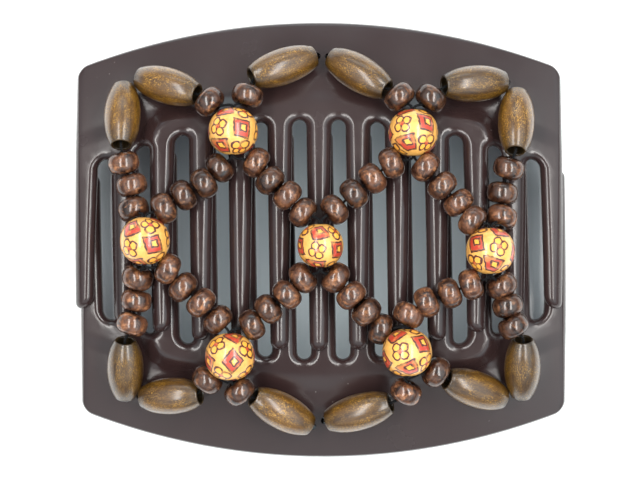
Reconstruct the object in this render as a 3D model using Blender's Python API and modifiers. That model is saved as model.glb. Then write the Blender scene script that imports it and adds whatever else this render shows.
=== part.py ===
"""Butterfly hair comb: two moulded combs laid one over the other, joined across their front by a
net of wooden beads on elastic. It lies as on a table: X across, Y from spine to spine, Z up."""

import math

import bmesh
import bpy
from mathutils import Matrix, Vector

MM = 0.001  # the sizes below are in millimetres

# The comb's outline, with depths measured down from the spine
TEETH = 13
PITCH = 9.26
HALF_WIDTH = 58.1
SPINE_Y = 52.2
SPINE_RADIUS = 154.0
COMB_HEIGHT = 78.5
TIP_SHORTENING = 0.0065
CORNER_RADIUS = 3.4
SLOT_DEPTH = 23.8
SLOT_DEPTH_GAIN = 0.0004
TOOTH_HALF_ROOT = 3.0
TOOTH_HALF_TIP = 2.2
COMB_OFFSET = 0.55
MOULD_THICK = 3.2
EDGE_BEVEL = 1.9
TIP_THINNING = 0.2
FLAT_ANGLE = 0.5

# The comb's arch and its raised middle
GAP = 0.3
ARCH_RADIUS = 130.0
NEST_STEP = MOULD_THICK + GAP
CORNER_Y = 42.0
FOOT_CUT = 1.2
CORNER_DROP = 5.5
DROP_POWER = 2.6
STEP_HEIGHT = 0.45
STEP_START, STEP_END = 17.6, 20.2
PLATFORM_EDGE, VALLEY_EDGE = 40.6, 42.8
ARCH_MIDDLE = -ARCH_RADIUS * NEST_STEP / (2 * CORNER_Y)
ARCH_TOP = (CORNER_Y + ARCH_MIDDLE) ** 2 / (2 * ARCH_RADIUS) + CORNER_DROP - FOOT_CUT
BAND_ROWS = (8.0, STEP_START, STEP_END, 23.0)
TOOTH_ROWS = (36.0, 49.0, 62.0)

# Beads and elastic
PRINT_RADIUS = 5.8
PRINT_BORE = 1.2
OVAL_RADIUS = 4.3
OVAL_END_RADIUS, OVAL_BORE = 2.5, 1.7
OVAL_DIP, OVAL_DIP_LIFT = 12.0, 0.35
OVAL_REST_SHARE, OVAL_REST_RADIUS = 0.3, 3.75
RONDELLE_RADIUS, RONDELLE_LENGTH = 3.75, 5.2
RONDELLE_END_RADIUS, RONDELLE_BORE = 2.2, 1.5
RONDELLE_REST = 4.0
SPACER_LEAD = 0.3
NECK_RADIUS = 1.5
ELASTIC_RADIUS = 0.45
LEG_REACH, LEG_RISE = 0.75, 0.8
HOLE_RADIUS, DRILL_DEPTH = 0.85, 30.0
HOLE_SIDES, BEAD_SIDES, PRINT_SIDES = 8, 10, 12
KNOT_RADIUS, KNOT_HALF_THICK = 1.9, 0.55

# Where the beads lie, in plan
PRINTS = {
    "top_left": (-20.6, 25.3),
    "top_right": (21.5, 25.0),
    "left": (-41.0, -0.3),
    "centre": (-0.2, -1.4),
    "right": (39.3, -2.6),
    "bottom_left": (-21.3, -27.3),
    "bottom_right": (20.0, -26.3),
}
STRANDS = {
    "left_up": (None, "left", [(-45.6, 17.15), (-44.4, 12.4), (-43.9, 7.3)]),
    "left_down": ("left", None, [(-43.0, -8.9), (-43.4, -14.3), (-44.4, -19.8)]),
    "right_up": (None, "right", [(43.9, 15.9), (42.4, 10.7), (42.3, 5.4)]),
    "right_down": ("right", None, [(42.2, -10.7), (43.7, -15.5), (45.0, -20.2)]),
    "left_to_top": ("left", "top_left", [(-36.7, 7.3), (-32.2, 10.4), (-27.4, 13.1), (-23.8, 16.8)]),
    "top_to_centre": ("top_left", "centre", [(-15.2, 18.0), (-11.9, 13.8), (-7.9, 10.3), (-4.3, 6.3)]),
    "centre_to_top": ("centre", "top_right", [(3.1, 7.0), (7.6, 10.7), (12.0, 14.3), (16.4, 17.9)]),
    "top_to_right": ("top_right", "right", [(24.4, 17.0), (28.2, 12.6), (32.1, 8.6), (35.2, 4.4)]),
    "right_to_bottom": ("right", "bottom_right", [(34.9, -10.4), (29.9, -12.5), (25.0, -14.5), (21.2, -17.1)]),
    "bottom_to_centre": ("bottom_right", "centre", [(13.9, -20.9), (10.5, -16.8), (7.0, -13.0), (3.4, -8.9)]),
    "centre_to_bottom": ("centre", "bottom_left", [(-4.3, -8.9), (-8.0, -12.8), (-12.3, -16.2), (-16.2, -19.9)]),
    "bottom_to_left": ("bottom_left", "left", [(-24.2, -18.7), (-28.0, -14.7), (-32.3, -11.1), (-35.8, -6.8)]),
}
# Each loop: where it is tied, then for its left and right run the oval bead's middle, turn and
# length and where the spacer bead beyond it lies
LOOPS = {
    "top_left": (
        (-46.2, 38.6),
        ((-46.9, 29.3), 90, 16.4, None),
        ((-36.2, 36.3), -17, 16.2, (-26.2, 32.3)),
    ),
    "top_centre": (
        (0.3, 43.4),
        ((-9.1, 40.8), 20, 16.6, (-17.3, 33.8)),
        ((8.9, 39.2), -32, 16.6, (18.3, 33.5)),
    ),
    "top_right": (
        (45.5, 37.8),
        ((36.2, 36.8), 5, 15.8, (25.7, 33.2)),
        ((45.9, 27.8), 86, 15.4, None),
    ),
    "bottom_left": (
        (-45.2, -38.8),
        ((-46.3, -30.5), 88, 15.2, None),
        ((-35.5, -36.95), 4, 15.0, (-26.7, -32.85)),
    ),
    "bottom_centre": (
        (-0.4, -44.6),
        ((-9.3, -40.5), -29, 16.0, (-19.2, -35.5)),
        ((8.9, -40.7), 17, 16.2, (19.9, -35.7)),
    ),
    "bottom_right": (
        (46.8, -38.5),
        ((36.4, -35.3), -20, 16.0, (26.9, -31.0)),
        ((47.5, -30.3), 91, 15.2, None),
    ),
}

COLOURS = {
    "comb": ((0.045, 0.028, 0.026), 0.25),
    "print": ((0.80, 0.52, 0.18), 0.3),
    "oval": ((0.16, 0.09, 0.035), 0.4),
    "rondelle": ((0.09, 0.035, 0.022), 0.3),
    "elastic": ((0.01, 0.01, 0.01), 0.6),
}


def smooth_step(value, start, end):
    t = min(max((value - start) / (end - start), 0.0), 1.0)
    return t * t * (3 - 2 * t)


def spine_drop(x):
    """How far a line that follows the spine falls back from its middle."""
    return x * x / (2 * SPINE_RADIUS)


def slot_depth(x):
    return SLOT_DEPTH + SLOT_DEPTH_GAIN * x * x


def tip_depth(x):
    return COMB_HEIGHT - TIP_SHORTENING * x * x


def tooth_half(x, depth):
    """Half the width of a tooth at a depth below the spine."""
    share = (depth - SLOT_DEPTH) / (tip_depth(x) - SLOT_DEPTH)
    return TOOTH_HALF_ROOT + (TOOTH_HALF_TIP - TOOTH_HALF_ROOT) * min(max(share, 0.0), 1.0)


def under_height(x, y, depth, side):
    """Height of a comb's underside. side is 1 for the upper comb and -1 for the lower one."""
    arch = ARCH_TOP - (y - ARCH_MIDDLE) ** 2 / (2 * ARCH_RADIUS)
    if side > 0:
        arch += NEST_STEP
    step = smooth_step(depth, STEP_START, STEP_END)
    platform = 1 - smooth_step(abs(x), PLATFORM_EDGE, VALLEY_EDGE)
    drop = CORNER_DROP * (abs(x) / HALF_WIDTH) ** DROP_POWER
    return arch - drop * (1 - platform * step) + STEP_HEIGHT * step


def crest(x, y, side):
    """Height of a comb's top at a point, or None beside it or in a slot."""
    own_x, own_y = side * x + COMB_OFFSET, side * y
    depth = SPINE_Y - own_y - spine_drop(own_x)
    if depth < 0 or abs(own_x) > HALF_WIDTH or depth > tip_depth(own_x):
        return None
    inset = min(depth, HALF_WIDTH - abs(own_x))
    if depth > slot_depth(own_x):
        tooth = min(max(round(own_x / PITCH), -(TEETH // 2)), TEETH // 2)
        inset = tooth_half(own_x, depth) - abs(own_x - tooth * PITCH)
        if inset < 0:
            return None
    return under_height(x, y, depth, side) + MOULD_THICK - max(0.0, EDGE_BEVEL - inset)


def rest_height(x, y, radius):
    """Height of the middle of a ball that rests on the combs at this point, a gap clear of them."""
    top = -math.inf
    steps = 6
    for i in range(-steps, steps + 1):
        for j in range(-steps, steps + 1):
            dx, dy = radius * i / steps, radius * j / steps
            reach = radius * radius - dx * dx - dy * dy
            if reach < 0:
                continue
            for side in (1, -1):
                height = crest(x + dx, y + dy, side)
                if height is not None:
                    top = max(top, height + math.sqrt(reach))
    return top + GAP


def new_collection(name):
    collection = bpy.data.collections.new(name)
    bpy.context.scene.collection.children.link(collection)
    return collection


def material(kind):
    found = bpy.data.materials.get(kind)
    if found:
        return found
    colour, roughness = COLOURS[kind]
    made = bpy.data.materials.new(kind)
    made.use_nodes = True
    shader = made.node_tree.nodes["Principled BSDF"]
    shader.inputs["Base Color"].default_value = (*colour, 1)
    shader.inputs["Roughness"].default_value = roughness
    made.diffuse_color = (*colour, 1)
    return made


def add_object(name, data, kind, collection):
    made = bpy.data.objects.new(name, data)
    collection.objects.link(made)
    if kind:
        data.materials.append(material(kind))
    return made


def arc(centre, radius, start, end, steps):
    """Points on an arc, angles in degrees."""
    points = []
    for i in range(steps + 1):
        angle = math.radians(start + (end - start) * i / steps)
        points.append((centre[0] + radius * math.cos(angle), centre[1] + radius * math.sin(angle)))
    return points


def comb_outline():
    """The flat outline before the spine is bowed: the spine on y = 0 and the teeth down."""
    half = TEETH // 2
    corner_x = HALF_WIDTH - CORNER_RADIUS
    points = arc((-corner_x, -CORNER_RADIUS), CORNER_RADIUS, 180, 90, 3)
    points += arc((corner_x, -CORNER_RADIUS), CORNER_RADIUS, 90, 0, 3)
    for tooth in range(half, -half - 1, -1):
        x = tooth * PITCH
        tip = -tip_depth(x) + TOOTH_HALF_TIP
        points += arc((x, tip), TOOTH_HALF_TIP, 0, -180, 4)
        if tooth == -half:
            break
        slot_x = x - PITCH / 2
        radius = PITCH / 2 - TOOTH_HALF_ROOT
        points += arc((slot_x, -slot_depth(slot_x) - radius), radius, 0, 180, 4)
    return points


def filled_plate(name, outline):
    """A flat plate with a bevelled upper rim and a flat underside, from a closed outline."""
    curve = bpy.data.curves.new(name, "CURVE")
    curve.dimensions = "2D"
    curve.fill_mode = "BOTH"
    curve.extrude = (MOULD_THICK - EDGE_BEVEL) * MM
    curve.bevel_depth = EDGE_BEVEL * MM
    curve.bevel_resolution = 0
    curve.offset = -EDGE_BEVEL * MM
    spline = curve.splines.new("POLY")
    spline.points.add(len(outline) - 1)
    spline.use_cyclic_u = True
    for point, (x, y) in zip(spline.points, outline):
        point.co = (x * MM, y * MM, 0, 1)
    shape = bpy.data.objects.new(name, curve)
    bpy.context.scene.collection.objects.link(shape)
    bpy.context.view_layer.update()
    graph = bpy.context.evaluated_depsgraph_get()
    mesh = bpy.data.meshes.new_from_object(shape.evaluated_get(graph))
    bpy.data.objects.remove(shape)
    bpy.data.curves.remove(curve)
    return mesh


def cut(bm, point, normal, faces=None, clear_below=False):
    faces = faces if faces is not None else bm.faces[:]
    edges = {edge for face in faces for edge in face.edges}
    verts = {vert for face in faces for vert in face.verts}
    geometry = [*verts, *edges, *faces]
    bmesh.ops.bisect_plane(
        bm, geom=geometry, plane_co=Vector(point) * MM, plane_no=normal, dist=1e-7, clear_inner=clear_below
    )


def close_holes(bm):
    open_edges = [edge for edge in bm.edges if edge.is_boundary]
    bmesh.ops.triangle_fill(bm, edges=open_edges, use_beauty=True)
    bmesh.ops.recalc_face_normals(bm, faces=bm.faces[:])


def make_comb(name, side, holes, collection, cutters):
    """One comb: its flat plate is sliced into rows, bowed, arched and drilled."""
    mesh = filled_plate(name, comb_outline())
    bm = bmesh.new()
    bm.from_mesh(mesh)
    bmesh.ops.remove_doubles(bm, verts=bm.verts[:], dist=1e-5)
    cut(bm, (0, 0, 0), (0, 0, 1), clear_below=True)
    close_holes(bm)
    bmesh.ops.dissolve_limit(bm, angle_limit=math.radians(FLAT_ANGLE), verts=bm.verts[:], edges=bm.edges[:])
    for depth in (*BAND_ROWS, *TOOTH_ROWS):
        cut(bm, (0, -depth, 0), (0, 1, 0))
    columns = [PITCH * (i - (TEETH - 2) / 2) for i in range(TEETH - 1)]
    columns += [sign * edge + COMB_OFFSET for sign in (-1, 1) for edge in (PLATFORM_EDGE, VALLEY_EDGE)]
    for x in columns:
        band = [f for f in bm.faces if all(v.co.y > -BAND_ROWS[-1] * MM - 1e-6 for v in f.verts)]
        cut(bm, (x, 0, 0), (1, 0, 0), faces=band)
    for vert in bm.verts:
        x, depth, z = vert.co.x / MM, -vert.co.y / MM, vert.co.z / MM
        thin = 1 - TIP_THINNING * smooth_step(depth, TOOTH_ROWS[-2], COMB_HEIGHT)
        y = side * (SPINE_Y - depth - spine_drop(x))
        x = side * (x - COMB_OFFSET)
        vert.co = Vector((x, y, under_height(x, y, depth, side) + z * thin)) * MM
    cut(bm, (0, 0, 0), (0, 0, 1), clear_below=True)
    close_holes(bm)
    bmesh.ops.dissolve_degenerate(bm, edges=bm.edges[:], dist=1e-6)
    bmesh.ops.triangulate(bm, faces=bm.faces[:])
    bm.to_mesh(mesh)
    bm.free()
    comb = add_object(name, mesh, "comb", collection)
    for i, (x, y) in enumerate(holes, 1):
        bore = bmesh.new()
        bmesh.ops.create_cone(
            bore,
            cap_ends=True,
            segments=HOLE_SIDES,
            radius1=HOLE_RADIUS * MM,
            radius2=HOLE_RADIUS * MM,
            depth=DRILL_DEPTH * MM,
        )
        bore_mesh = bpy.data.meshes.new(f"{name}_bore_{i}")
        bore.to_mesh(bore_mesh)
        bore.free()
        cutter = add_object(f"{name}_bore_{i}", bore_mesh, None, cutters)
        cutter.location = Vector((x, y, 0)) * MM
        cutter.hide_render = True
        cutter.display_type = "WIRE"
        drill = comb.modifiers.new(f"bore_{i}", "BOOLEAN")
        drill.operation = "DIFFERENCE"
        drill.object = cutter
    return comb


def turned(name, profile, sides, kind, collection):
    """A turned bead: a closed profile of (radius, height), down its outside and up its bore."""
    bm = bmesh.new()
    verts = [bm.verts.new((radius * MM, 0, height * MM)) for radius, height in profile]
    for a, b in zip(verts, verts[1:] + verts[:1]):
        bm.edges.new((a, b))
    mesh = bpy.data.meshes.new(name)
    bm.to_mesh(mesh)
    bm.free()
    bead = add_object(name, mesh, kind, collection)
    screw = bead.modifiers.new("turn", "SCREW")
    screw.axis = "Z"
    screw.steps = screw.render_steps = sides
    screw.use_merge_vertices = True
    screw.merge_threshold = 1e-5
    screw.use_smooth_shade = True
    return bead


def bead_profile(length, radius, end_radius, bore, rings):
    """Outer side as part of an ellipse through the two end rims, then the bore."""
    reach = math.acos(end_radius / radius)
    points = []
    for i in range(rings):
        angle = reach * (1 - 2 * i / (rings - 1))
        points.append((radius * math.cos(angle), length / 2 * math.sin(angle) / math.sin(reach)))
    return points + [(bore, -length / 2), (bore, length / 2)]


def aim(obj, middle, direction):
    """Places a turned piece with its axis along a direction, both in millimetres."""
    turn = Vector(direction).to_track_quat("Z", "Y").to_matrix().to_4x4()
    obj.matrix_world = Matrix.Translation(Vector(middle) * MM) @ turn


def tube(name, points, radii, resolution, kind, collection):
    """A bevelled curve through points in millimetres, its radius given at each."""
    curve = bpy.data.curves.new(name, "CURVE")
    curve.dimensions = "3D"
    curve.bevel_depth = MM
    curve.bevel_resolution = resolution
    curve.use_fill_caps = True
    spline = curve.splines.new("POLY")
    spline.points.add(len(points) - 1)
    for point, where, radius in zip(spline.points, points, radii):
        point.co = (*(Vector(where) * MM), 1)
        point.radius = radius
    spline.use_smooth = True
    return add_object(name, curve, kind, collection)


def print_middle(name):
    x, y = PRINTS[name]
    return Vector((x, y, rest_height(x, y, PRINT_RADIUS)))


def toward(start, end, distance):
    return start + (end - start).normalized() * distance


def make_strand(name, loop_ends, collection):
    """Rondelles on their elastic, fused into one body, from one neighbour to the next."""
    first, last, plan = STRANDS[name]
    middles = [Vector((x, y, rest_height(x, y, RONDELLE_REST))) for x, y in plan]
    clear = PRINT_RADIUS + GAP
    if first:
        start = toward(print_middle(first), middles[0], clear)
    else:
        start = toward(loop_ends[name], middles[0], 2 * GAP)
    if last:
        end = toward(print_middle(last), middles[-1], clear)
    else:
        end = toward(loop_ends[name], middles[-1], 2 * GAP)
    points, radii = [start], [ELASTIC_RADIUS]
    half = RONDELLE_LENGTH / 2
    for i, middle in enumerate(middles):
        before = middles[i - 1] if i else start
        after = middles[i + 1] if i + 1 < len(middles) else end
        along = (after - before).normalized()
        if i == 0:
            room = min(half, (middle - start).length - GAP)
            points.append(middle - along * room)
            radii.append(RONDELLE_END_RADIUS)
        points += [middle - along * half / 2, middle + along * half / 2]
        radii += [RONDELLE_RADIUS, RONDELLE_RADIUS]
        if i + 1 < len(middles):
            points.append((middle + middles[i + 1]) / 2)
            radii.append(NECK_RADIUS)
        else:
            room = min(half, (end - middle).length - GAP)
            points.append(middle + along * room)
            radii.append(RONDELLE_END_RADIUS)
    points.append(end)
    radii.append(ELASTIC_RADIUS)
    return tube(f"strand_{name}", points, radii, 3, "rondelle", collection)


def oval_frame(middle, turn, length, tie):
    """An oval bead's middle and its axis, laid on the band with the end near the tie pulled down."""
    x, y = middle
    along = Vector((math.cos(math.radians(turn)), math.sin(math.radians(turn)), 0))
    if along.dot(Vector((*tie, 0)) - Vector((x, y, 0))) < 0:
        along = -along
    reach = length * OVAL_REST_SHARE
    ends = []
    for sign in (-1, 1):
        px, py = x + sign * along.x * reach, y + sign * along.y * reach
        ends.append(Vector((px, py, rest_height(px, py, OVAL_REST_RADIUS))))
    middle_z = max(rest_height(x, y, OVAL_RADIUS), (ends[0].z + ends[1].z) / 2) + OVAL_DIP_LIFT
    laid = (ends[1] - ends[0]).normalized()
    dip = Matrix.Rotation(-math.radians(OVAL_DIP), 3, Vector((along.y, -along.x, 0)))
    return Vector((x, y, middle_z)), dip @ laid


def leg_holes(name):
    """Where a loop's two legs go down through the comb, each just past its oval bead's end."""
    tie, *runs = LOOPS[name]
    holes = []
    for oval, turn, length, _ in runs:
        middle, along = oval_frame(oval, turn, length, tie)
        leg = middle + along * (length / 2 + LEG_REACH)
        holes.append((leg.x, leg.y))
    return holes


def loop_side(name):
    return 1 if LOOPS[name][0][1] > 0 else -1


def underside(x, y, side):
    """Height of a comb's underside at a point of the plan."""
    own_x = side * x + COMB_OFFSET
    return under_height(x, y, SPINE_Y - side * y - spine_drop(own_x), side)


def make_loop(name, collection, ovals, spacers):
    """Two oval beads, the spacers beyond them, and the elastic that ties them to a spine."""
    tie, *runs = LOOPS[name]
    side = loop_side(name)
    rows = []
    for oval, turn, length, spacer in runs:
        middle, along = oval_frame(oval, turn, length, tie)
        half = length / 2
        near, far = middle + along * half, middle - along * half
        number = len(ovals) + 1
        ovals.append(
            turned(
                f"oval_bead_{number:02d}",
                bead_profile(length, OVAL_RADIUS, OVAL_END_RADIUS, OVAL_BORE, 5),
                BEAD_SIDES,
                "oval",
                collection,
            )
        )
        aim(ovals[-1], middle, along)
        row = [near + along * LEG_REACH / 2, near, far]
        if spacer:
            spot = Vector((*spacer, rest_height(*spacer, RONDELLE_REST)))
            goals = [print_middle(key) for key in PRINTS]
            goal = min(goals, key=lambda where: (where - spot).length)
            share = (spot - far).xy.length / ((spot - far).xy.length + (goal - spot).xy.length)
            spot.z = max(spot.z, far.z + (goal.z - far.z) * share)
            axis = ((goal - spot).normalized() + (spot - far).normalized()).normalized()
            number = len(spacers) + 1
            spacers.append(
                turned(
                    f"spacer_bead_{number}",
                    bead_profile(RONDELLE_LENGTH, RONDELLE_RADIUS, RONDELLE_END_RADIUS, RONDELLE_BORE, 4),
                    BEAD_SIDES,
                    "rondelle",
                    collection,
                )
            )
            aim(spacers[-1], spot, axis)
            room = RONDELLE_LENGTH * SPACER_LEAD
            row += [spot - axis * room, spot + axis * room]
            row.append(toward(goal, row[-1], PRINT_RADIUS + GAP))
        else:
            row.append(far - along * GAP)
        rows.append(row)
    legs = [Vector((*hole, underside(*hole, side))) for hole in leg_holes(name)]
    knot = (legs[0] + legs[1]) / 2
    slope = math.atan(underside(knot.x, knot.y + 1, side) - underside(knot.x, knot.y, side))
    knot.z = underside(knot.x, knot.y, side) - GAP - KNOT_HALF_THICK
    down = Vector((0, 0, GAP + ELASTIC_RADIUS))
    above = Vector((0, 0, MOULD_THICK + LEG_RISE))
    points = rows[0][::-1] + [legs[0] + above, legs[0], legs[0] - down, knot]
    points += [legs[1] - down, legs[1], legs[1] + above] + rows[1]
    loop = tube(f"elastic_{name}", points, [ELASTIC_RADIUS] * len(points), 1, "elastic", collection)
    far_ends = {}
    for row, run in zip(rows, runs):
        if run[-1] is None:
            far_ends["left" if run[0][0] < 0 else "right"] = row[-1]
    return loop, knot, slope, far_ends


def tie_knot(loop, where, slope, collection, cutters):
    """Turns the loop into a mesh and joins its knot to it, tilted like the comb's underside."""
    bpy.context.view_layer.update()
    graph = bpy.context.evaluated_depsgraph_get()
    mesh = bpy.data.meshes.new_from_object(loop.evaluated_get(graph))
    bm = bmesh.new()
    bm.from_mesh(mesh)
    bmesh.ops.remove_doubles(bm, verts=bm.verts[:], dist=1e-6)
    bmesh.ops.recalc_face_normals(bm, faces=bm.faces[:])
    bm.to_mesh(mesh)
    bm.free()
    name = loop.name
    curve = loop.data
    bpy.data.objects.remove(loop)
    bpy.data.curves.remove(curve)
    tied = bpy.data.objects.new(name, mesh)
    collection.objects.link(tied)
    if not mesh.materials:
        mesh.materials.append(material("elastic"))
    ball = bmesh.new()
    bmesh.ops.create_uvsphere(ball, u_segments=8, v_segments=4, radius=1)
    bmesh.ops.scale(ball, vec=Vector((KNOT_RADIUS, KNOT_RADIUS, KNOT_HALF_THICK)) * MM, verts=ball.verts[:])
    ball_mesh = bpy.data.meshes.new(f"{name}_knot")
    ball.to_mesh(ball_mesh)
    ball.free()
    knot = add_object(f"{name}_knot", ball_mesh, None, cutters)
    knot.location = where * MM
    knot.hide_render = True
    knot.display_type = "WIRE"
    knot.rotation_euler.x = slope
    join = tied.modifiers.new("knot", "BOOLEAN")
    join.operation = "UNION"
    join.object = knot


def main():
    for old in list(bpy.data.objects):
        bpy.data.objects.remove(old)
    parts = new_collection("butterfly_comb")
    cutters = new_collection("cutters")

    for name, side in (("comb_upper", 1), ("comb_lower", -1)):
        holes = [hole for loop in LOOPS if loop_side(loop) == side for hole in leg_holes(loop)]
        make_comb(name, side, holes, parts, cutters)

    for name in PRINTS:
        ball = bead_profile(
            2 * math.sqrt(PRINT_RADIUS**2 - PRINT_BORE**2), PRINT_RADIUS, PRINT_BORE, PRINT_BORE, 7
        )[:-2]
        bead = turned(f"print_bead_{name}", ball, PRINT_SIDES, "print", parts)
        aim(bead, print_middle(name), (0, 1, 0))

    ovals, spacers, loop_ends = [], [], {}
    for name in LOOPS:
        loop, knot_at, slope, far_ends = make_loop(name, parts, ovals, spacers)
        tie_knot(loop, knot_at, slope, parts, cutters)
        for hand, where in far_ends.items():
            loop_ends[f"{hand}_{'up' if where.y > 0 else 'down'}"] = where

    for name in STRANDS:
        make_strand(name, loop_ends, parts)


main()
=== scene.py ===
import math
import random

import bmesh
import bpy
from mathutils import Matrix, Vector


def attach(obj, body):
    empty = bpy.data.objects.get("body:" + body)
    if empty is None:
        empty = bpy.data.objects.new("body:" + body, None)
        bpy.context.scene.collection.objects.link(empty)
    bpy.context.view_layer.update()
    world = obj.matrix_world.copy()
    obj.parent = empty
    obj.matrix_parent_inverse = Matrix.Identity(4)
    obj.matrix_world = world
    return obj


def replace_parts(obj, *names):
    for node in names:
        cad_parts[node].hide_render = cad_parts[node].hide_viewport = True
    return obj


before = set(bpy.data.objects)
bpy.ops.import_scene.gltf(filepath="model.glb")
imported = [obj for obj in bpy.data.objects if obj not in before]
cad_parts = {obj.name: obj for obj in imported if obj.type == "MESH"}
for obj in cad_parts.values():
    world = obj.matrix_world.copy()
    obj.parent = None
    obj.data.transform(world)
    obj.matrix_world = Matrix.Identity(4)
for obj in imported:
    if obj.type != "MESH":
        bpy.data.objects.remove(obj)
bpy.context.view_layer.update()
MM = 0.001  # every size below is in millimetres

# The two combs
# Each comb is one moulding of dark brown styrene: a bowed spine band, a raised middle and thirteen
# teeth with rounded flanks. The same moulding is used twice, one turned half round and laid over
# the other, and small holes drilled in pairs through each band take the elastic.

TEETH = 13
PITCH = 9.26
HALF_WIDTH = 58.1
SPINE_Y = 52.2
SPINE_RADIUS = 154.0
COMB_HEIGHT = 78.5
TIP_SHORTENING = 0.0065
CORNER_RADIUS = 2.6
SLOT_DEPTH = 23.8
SLOT_DEPTH_GAIN = 0.0004
TOOTH_HALF_ROOT, TOOTH_HALF_TIP = 3.0, 2.2
COMB_OFFSET = 0.55
MOULD_THICK = 3.2
EDGE_BEVEL = 1.9
OUTER_ROUNDING = 0.25  # the share of the edge's rounding that the spine and the sides have
TIP_THINNING = 0.2
THIN_START = 49.0

GAP = 0.3
ARCH_RADIUS = 130.0
NEST_STEP = MOULD_THICK + GAP
CORNER_Y = 42.0
FOOT_CUT = 1.2
CORNER_DROP = 5.5
DROP_POWER = 2.6
STEP_HEIGHT = 0.45
STEP_START, STEP_END = 15.8, 20.6
PLATFORM_EDGE = 41.6
PLATFORM_CORNER = 6.5
ARCH_MIDDLE = -ARCH_RADIUS * NEST_STEP / (2 * CORNER_Y)
ARCH_TOP = (CORNER_Y + ARCH_MIDDLE) ** 2 / (2 * ARCH_RADIUS) + CORNER_DROP - FOOT_CUT

# Section of a moulded edge, inward distance and height, from the underside up to the crest
EDGE_SECTION = [
    (0.7, 0.0), (0.3, 0.1), (0.08, 0.3), (0.0, 0.7), (0.0, 1.3), (0.12, 1.75), (0.36, 2.15),
    (0.68, 2.5), (1.02, 2.78), (1.4, 3.0), (1.72, 3.12), (1.98, 3.18), (2.15, 3.2),
]


def smooth_step(value, start, end):
    t = min(max((value - start) / (end - start), 0.0), 1.0)
    return t * t * (3 - 2 * t)


def spine_drop(x):
    return x * x / (2 * SPINE_RADIUS)


def slot_depth(x):
    return SLOT_DEPTH + SLOT_DEPTH_GAIN * x * x


def tip_depth(x):
    return COMB_HEIGHT - TIP_SHORTENING * x * x


def tooth_half(x, depth):
    share = (depth - SLOT_DEPTH) / (tip_depth(x) - SLOT_DEPTH)
    return TOOTH_HALF_ROOT + (TOOTH_HALF_TIP - TOOTH_HALF_ROOT) * min(max(share, 0.0), 1.0)


def under_height(x, y, depth, side):
    """Height of a comb's underside. side is 1 for the upper comb and -1 for the lower one."""
    arch = ARCH_TOP - (y - ARCH_MIDDLE) ** 2 / (2 * ARCH_RADIUS)
    if side > 0:
        arch += NEST_STEP
    step = smooth_step(depth, STEP_START, STEP_END)
    beyond_side = abs(x) - PLATFORM_EDGE + PLATFORM_CORNER
    beyond_front = (STEP_START + STEP_END) / 2 + PLATFORM_CORNER - depth
    if beyond_side > 0 and beyond_front > 0:
        outside = math.hypot(beyond_side, beyond_front) - PLATFORM_CORNER
    else:
        outside = max(beyond_side, beyond_front) - PLATFORM_CORNER
    shoulder = (STEP_END - STEP_START) / 2
    platform = 1 - smooth_step(outside, -shoulder, shoulder)
    drop = CORNER_DROP * (abs(x) / HALF_WIDTH) ** DROP_POWER
    return arch - drop * (1 - platform) + STEP_HEIGHT * step


def crest(x, y, side):
    """Height of a comb's top at a point, or None beside it or in a slot."""
    own_x, own_y = side * x + COMB_OFFSET, side * y
    depth = SPINE_Y - own_y - spine_drop(own_x)
    if depth < 0 or abs(own_x) > HALF_WIDTH or depth > tip_depth(own_x):
        return None
    inset = min(depth, HALF_WIDTH - abs(own_x))
    if depth > slot_depth(own_x):
        tooth = min(max(round(own_x / PITCH), -(TEETH // 2)), TEETH // 2)
        inset = tooth_half(own_x, depth) - abs(own_x - tooth * PITCH)
        if inset < 0:
            return None
    return under_height(x, y, depth, side) + MOULD_THICK - max(0.0, EDGE_BEVEL - inset)


def arc(centre, radius, start, end, steps):
    points = []
    for i in range(steps + 1):
        angle = math.radians(start + (end - start) * i / steps)
        points.append((centre[0] + radius * math.cos(angle), centre[1] + radius * math.sin(angle)))
    return points


def comb_outline():
    """The flat outline before the spine is bowed: the spine on y = 0 and the teeth down."""
    half = TEETH // 2
    corner_x = HALF_WIDTH - CORNER_RADIUS
    points = arc((-corner_x, -CORNER_RADIUS), CORNER_RADIUS, 180, 90, 8)
    points += arc((corner_x, -CORNER_RADIUS), CORNER_RADIUS, 90, 0, 8)
    for tooth in range(half, -half - 1, -1):
        x = tooth * PITCH
        points += arc((x, TOOTH_HALF_TIP - tip_depth(x)), TOOTH_HALF_TIP, 0, -180, 12)
        if tooth > -half:
            slot_x = x - PITCH / 2
            radius = PITCH / 2 - TOOTH_HALF_ROOT
            points += arc((slot_x, -slot_depth(slot_x) - radius), radius, 0, 180, 12)
    return [Vector(point) for point in points]


def inset_ring(outline, inset):
    """The outline moved inward, its corners mitred. The two spine corners, and so the spine and
    the sides between them, are rounded over less than the teeth and slots."""
    moved = []
    for i, point in enumerate(outline):
        moved_in = inset * OUTER_ROUNDING if point.y > -CORNER_RADIUS - 0.01 else inset
        before = (point - outline[i - 1]).normalized()
        after = (outline[(i + 1) % len(outline)] - point).normalized()
        inward = Vector((before.y + after.y, -before.x - after.x))
        moved.append(point + inward * moved_in / (1 + before.dot(after)))
    return moved


# How far apart the moulding is sliced, so that it bends smoothly
FIRST_ROW = 1.0
ROW_SLICE = 1.6
COLUMN_SLICE = 1.7
SHOULDER_SLICE = 0.5
SHOULDER_LEAD, SHOULDER_SLICES = 4.4, 17
BAND_MARGIN = 1.4
SHARP_ANGLE = 50


def slice_at(bm, place, normal, faces):
    verts = list(dict.fromkeys(v for f in faces for v in f.verts))
    edges = list(dict.fromkeys(e for f in faces for e in f.edges))
    geometry = verts + edges + faces
    bmesh.ops.bisect_plane(bm, geom=geometry, plane_co=Vector(place), plane_no=normal, dist=1e-4)


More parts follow.
